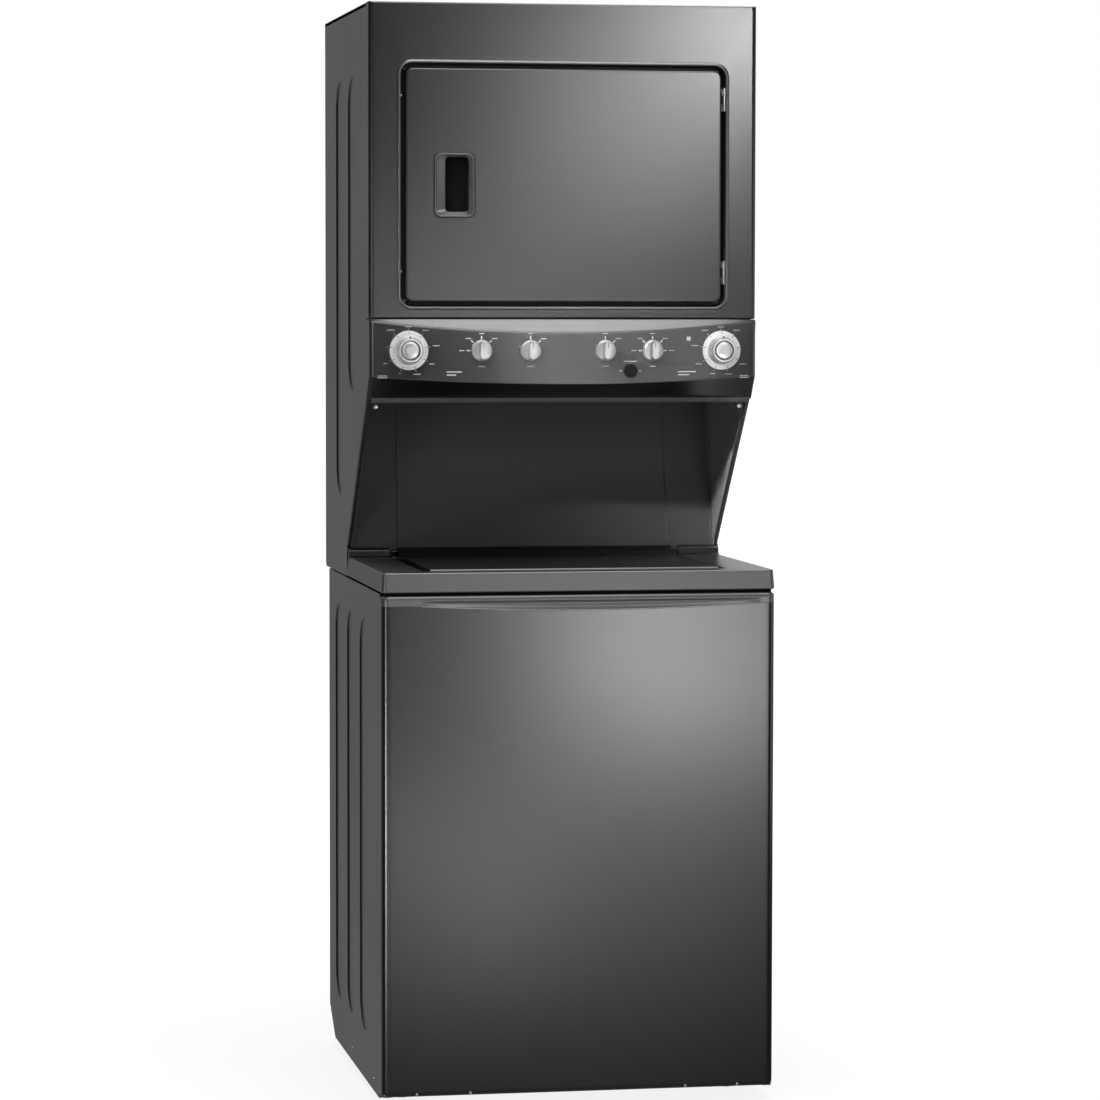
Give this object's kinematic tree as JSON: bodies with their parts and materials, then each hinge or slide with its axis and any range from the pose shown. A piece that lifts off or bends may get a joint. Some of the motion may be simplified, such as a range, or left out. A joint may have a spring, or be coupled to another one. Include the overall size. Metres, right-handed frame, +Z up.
{
  "type": "washer dryer stack",
  "caption": "Free-standing stacked laundry centre: top-loading washer below, vented front-door tumble dryer above, and a bowed control console with rotary dials between them.",
  "frame": {"origin": "centre of the footprint on the floor, under the levelling legs", "axes": "+Z up, the front faces -Y, +X to the right of a person facing the front"},
  "size_m": [0.686, 0.8, 1.9018],
  "materials": {
    "body_paint": "dark grey metallic enamel, glossy",
    "console_plastic": "dark grey metallic moulding, satin to glossy",
    "silver_plastic": "vacuum-metallised silver, brushed on the faces",
    "black_plastic": "satin black",
    "white_plastic": "moulded polypropylene, satin",
    "galvanised_steel": "galvanised sheet, matt spangle",
    "stainless_steel": "brushed stainless sheet",
    "cast_metal": "cast and machined, oiled",
    "cast_aluminium": "die cast, satin",
    "hinge_steel": "bright plated",
    "rubber": "moulded rubber"
  },
  "bodies": {
    "cabinet": {"base_frame": "galvanised_steel", "leveling_leg_front_left": "rubber", "leveling_leg_front_right": "rubber", "leveling_leg_rear_left": "rubber", "leveling_leg_rear_right": "rubber", "washer_cabinet": "body_paint", "washer_front_panel": "body_paint", "washer_deck": "body_paint", "suspension_rod_front_left": "galvanised_steel", "suspension_rod_front_right": "galvanised_steel", "suspension_rod_rear_left": "galvanised_steel", "suspension_rod_rear_right": "galvanised_steel", "water_inlet_valve": "white_plastic", "dryer_left_side": "body_paint", "dryer_right_side": "body_paint", "dryer_top": "body_paint", "dryer_back": "galvanised_steel", "dryer_floor": "galvanised_steel", "dryer_front_panel": "body_paint", "recess_panel": "body_paint", "console_bezel": "console_plastic", "control_chassis": "galvanised_steel", "front_bulkhead": "galvanised_steel", "rear_bulkhead": "galvanised_steel", "drum_belt": "rubber", "dryer_motor": "cast_metal", "blower_housing": "galvanised_steel", "exhaust_duct": "galvanised_steel", "heater_box": "galvanised_steel", "door_hinge_upper": "hinge_steel", "door_hinge_lower": "hinge_steel"},
    "dryer_door": {"door_outer_panel": "body_paint", "door_inner_panel": "galvanised_steel", "door_handle": "body_paint"},
    "washer_lid": {"washer_lid": "body_paint"},
    "dryer_dial": {"dryer_cycle_dial": "silver_plastic"},
    "dryer_start": {"dryer_start_cap": "silver_plastic"},
    "washer_dial": {"washer_cycle_dial": "silver_plastic"},
    "washer_start": {"washer_start_cap": "silver_plastic"},
    "dryer_heat_knob": {"dryer_heat_knob": "silver_plastic"},
    "dryer_signal_knob": {"dryer_signal_knob": "silver_plastic"},
    "washer_softener_knob": {"washer_softener_knob": "silver_plastic"},
    "washer_temperature_knob": {"washer_temperature_knob": "silver_plastic"},
    "extra_rinse_button": {"extra_rinse_button": "black_plastic"},
    "dryer_drum": {"dryer_drum": "galvanised_steel"},
    "dryer_rotor": {"motor_shaft": "cast_metal", "blower_wheel": "black_plastic"},
    "lint_screen": {"lint_screen": "white_plastic"},
    "tub": {"outer_tub": "white_plastic", "tub_cover": "white_plastic", "gearcase": "cast_aluminium", "washer_motor": "cast_metal", "washer_belt": "rubber", "drain_pump": "white_plastic"},
    "basket": {"wash_basket": "stainless_steel", "balance_ring": "white_plastic", "spin_shaft": "cast_metal", "washer_pulley": "cast_aluminium"},
    "agitator": {"agitator": "black_plastic"},
    "washer_motor_pulley": {"washer_motor_pulley": "cast_metal"}
  },
  "joints": [
    {"name": "dryer_door", "type": "hinge", "parent": "cabinet", "child": "dryer_door", "pos_m": [0.2845, -0.243, 1.586], "axis": [0, 0, 1], "range_deg": [0, 110]},
    {"name": "washer_lid", "type": "hinge", "parent": "cabinet", "child": "washer_lid", "pos_m": [0, 0.048, 0.933], "axis": [-1, 0, 0], "range_deg": [0, 44]},
    {"name": "dryer_dial", "type": "hinge", "parent": "cabinet", "child": "dryer_dial", "pos_m": [-0.2764, -0.28, 1.3003], "axis": [0, -1, 0], "continuous": true},
    {"name": "dryer_start", "type": "slide", "parent": "dryer_dial", "child": "dryer_start", "axis": [0, 1, 0], "range_m": [0, 0.004], "stiffness_N_per_m": 500},
    {"name": "washer_dial", "type": "hinge", "parent": "cabinet", "child": "washer_dial", "pos_m": [0.2764, -0.28, 1.3003], "axis": [0, -1, 0], "continuous": true},
    {"name": "washer_start", "type": "slide", "parent": "washer_dial", "child": "washer_start", "axis": [0, 1, 0], "range_m": [0, 0.004], "stiffness_N_per_m": 500},
    {"name": "dryer_heat_knob", "type": "hinge", "parent": "cabinet", "child": "dryer_heat_knob", "pos_m": [-0.151, -0.29, 1.3003], "axis": [0, -1, 0], "range_deg": [-45, 90]},
    {"name": "dryer_signal_knob", "type": "hinge", "parent": "cabinet", "child": "dryer_signal_knob", "pos_m": [-0.066, -0.29, 1.3003], "axis": [0, -1, 0], "range_deg": [-45, 0]},
    {"name": "washer_softener_knob", "type": "hinge", "parent": "cabinet", "child": "washer_softener_knob", "pos_m": [0.066, -0.29, 1.3003], "axis": [0, -1, 0], "range_deg": [-45, 0]},
    {"name": "washer_temperature_knob", "type": "hinge", "parent": "cabinet", "child": "washer_temperature_knob", "pos_m": [0.151, -0.29, 1.3003], "axis": [0, -1, 0], "range_deg": [-90, 90]},
    {"name": "extra_rinse_button", "type": "slide", "parent": "cabinet", "child": "extra_rinse_button", "axis": [0, 1, 0], "range_m": [0, 0.003], "stiffness_N_per_m": 600},
    {"name": "dryer_drum", "type": "hinge", "parent": "cabinet", "child": "dryer_drum", "pos_m": [0, 0.08, 1.59], "axis": [0, 1, 0], "continuous": true},
    {"name": "dryer_rotor", "type": "hinge", "parent": "cabinet", "child": "dryer_rotor", "pos_m": [-0.15, 0.2, 1.175], "axis": [0, 1, 0], "continuous": true},
    {"name": "lint_screen", "type": "slide", "parent": "cabinet", "child": "lint_screen", "axis": [0, 0, 1], "range_m": [0, 0.12]},
    {"name": "tub_suspension", "type": "slide", "parent": "cabinet", "child": "tub", "axis": [0, 0, -1], "range_m": [-0.004, 0.022], "stiffness_N_per_m": 12000, "springref_m": -0.03},
    {"name": "basket_spin", "type": "hinge", "parent": "tub", "child": "basket", "pos_m": [0, -0.075, 0.425], "axis": [0, 0, 1], "continuous": true},
    {"name": "agitator_stroke", "type": "hinge", "parent": "basket", "child": "agitator", "pos_m": [0, -0.075, 0.425], "axis": [0, 0, 1], "range_deg": [-110, 110]},
    {"name": "washer_motor_pulley", "type": "hinge", "parent": "tub", "child": "washer_motor_pulley", "pos_m": [0.15, 0.07, 0.125], "axis": [0, 0, 1], "continuous": true}
  ],
  "couplings": [
    {"joint": "dryer_rotor", "follows": "dryer_drum", "ratio": 19.533},
    {"joint": "washer_motor_pulley", "follows": "basket_spin", "ratio": 3.2927}
  ]
}
